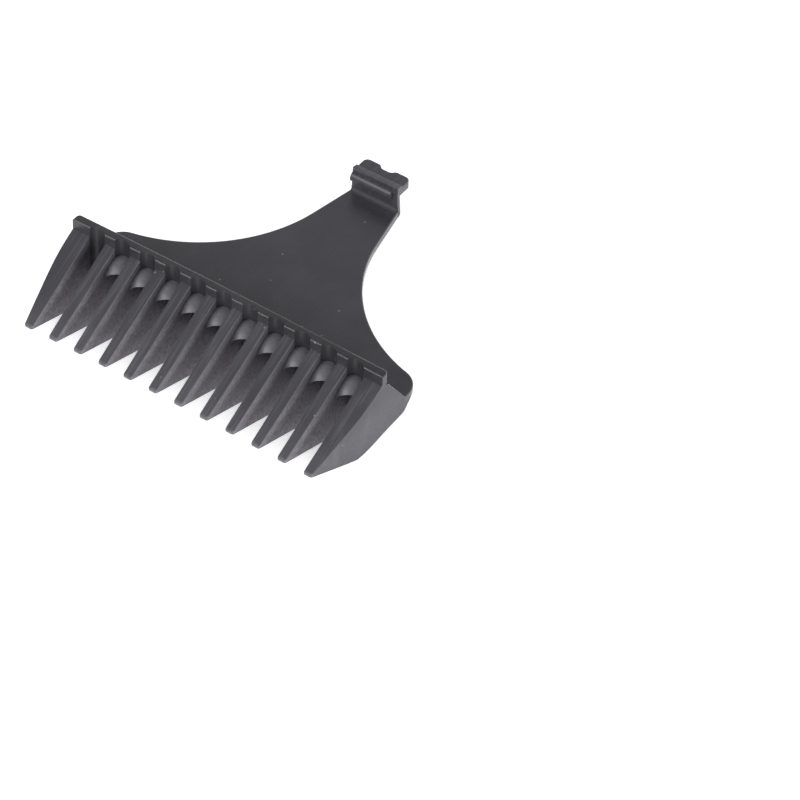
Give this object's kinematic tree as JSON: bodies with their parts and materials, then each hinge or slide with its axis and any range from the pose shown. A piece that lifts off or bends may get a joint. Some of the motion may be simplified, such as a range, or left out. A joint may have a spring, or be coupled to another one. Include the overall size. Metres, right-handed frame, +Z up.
{
  "type": "clipper guard comb",
  "caption": "Clip-on clipper guard comb: waisted blade plate, raised front bar, deep sloped guide teeth and a flexing rear latch.",
  "frame": {"origin": "centre of the blade seat on the plate's top face, midway between the front bar and the latch", "axes": "+X along the front bar, +Y from the teeth towards the latch, +Z up out of the blade seat"},
  "size_m": [0.0468, 0.0471, 0.0108],
  "materials": {
    "moulded_plastic": "satin black moulding, rougher on the teeth's sides"
  },
  "bodies": {
    "comb": {"carrier_plate": "moulded_plastic", "front_bar": "moulded_plastic", "tooth_01": "moulded_plastic", "tooth_02": "moulded_plastic", "tooth_03": "moulded_plastic", "tooth_04": "moulded_plastic", "tooth_05": "moulded_plastic", "tooth_06": "moulded_plastic", "tooth_07": "moulded_plastic", "tooth_08": "moulded_plastic", "tooth_09": "moulded_plastic", "tooth_10": "moulded_plastic", "tooth_11": "moulded_plastic", "tooth_12": "moulded_plastic", "web_01": "moulded_plastic", "web_02": "moulded_plastic", "web_03": "moulded_plastic", "web_04": "moulded_plastic", "web_05": "moulded_plastic", "web_06": "moulded_plastic", "web_07": "moulded_plastic", "web_08": "moulded_plastic", "web_09": "moulded_plastic", "web_10": "moulded_plastic", "web_11": "moulded_plastic", "side_cheek_left": "moulded_plastic", "side_cheek_right": "moulded_plastic"},
    "latch": {"latch_riser": "moulded_plastic", "latch_hook": "moulded_plastic", "thumb_tab": "moulded_plastic"}
  },
  "joints": [
    {"name": "latch_flex", "type": "hinge", "parent": "comb", "child": "latch", "pos_m": [0, 0.01542, -0.001], "axis": [-1, 0, 0], "range_deg": [0, 10], "stiffness_Nm_per_rad": 0.1}
  ]
}
